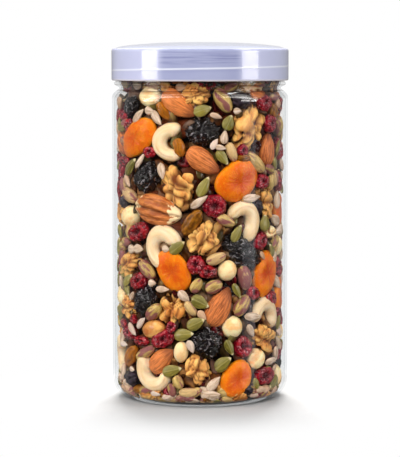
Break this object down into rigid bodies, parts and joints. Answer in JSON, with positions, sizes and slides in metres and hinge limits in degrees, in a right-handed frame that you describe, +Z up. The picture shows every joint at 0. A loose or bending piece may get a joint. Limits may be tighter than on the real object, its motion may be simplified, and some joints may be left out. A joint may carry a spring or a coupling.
{
  "type": "jar of mixed nuts, dried fruit and seeds",
  "caption": "Tall round clear plastic jar with a shut translucent screw lid, full to the neck of mixed nuts, dried fruit and seeds.",
  "frame": {"origin": "middle of the base, on the surface that the jar stands on", "axes": "+Z up along the jar's axis, front of the jar towards -Y, +X to the viewer's right"},
  "size_m": [0.0926, 0.0926, 0.1864],
  "materials": {
    "clear_plastic": "thin clear plastic, glossy and colourless, greyer where it is seen edge on at the sides, the base and the neck",
    "lid_plastic": "translucent pale lavender plastic, smooth and softly glossy, with a faint screw thread showing through its side",
    "nut_mix": "mixed nuts, dried fruit and seeds: brown almonds, golden walnuts, cream cashews, orange apricots, black prunes, red cranberries and green and grey seeds"
  },
  "bodies": {
    "root": {"jar": "clear_plastic", "lid": "lid_plastic", "nut_mix": "nut_mix"}
  },
  "joints": []
}
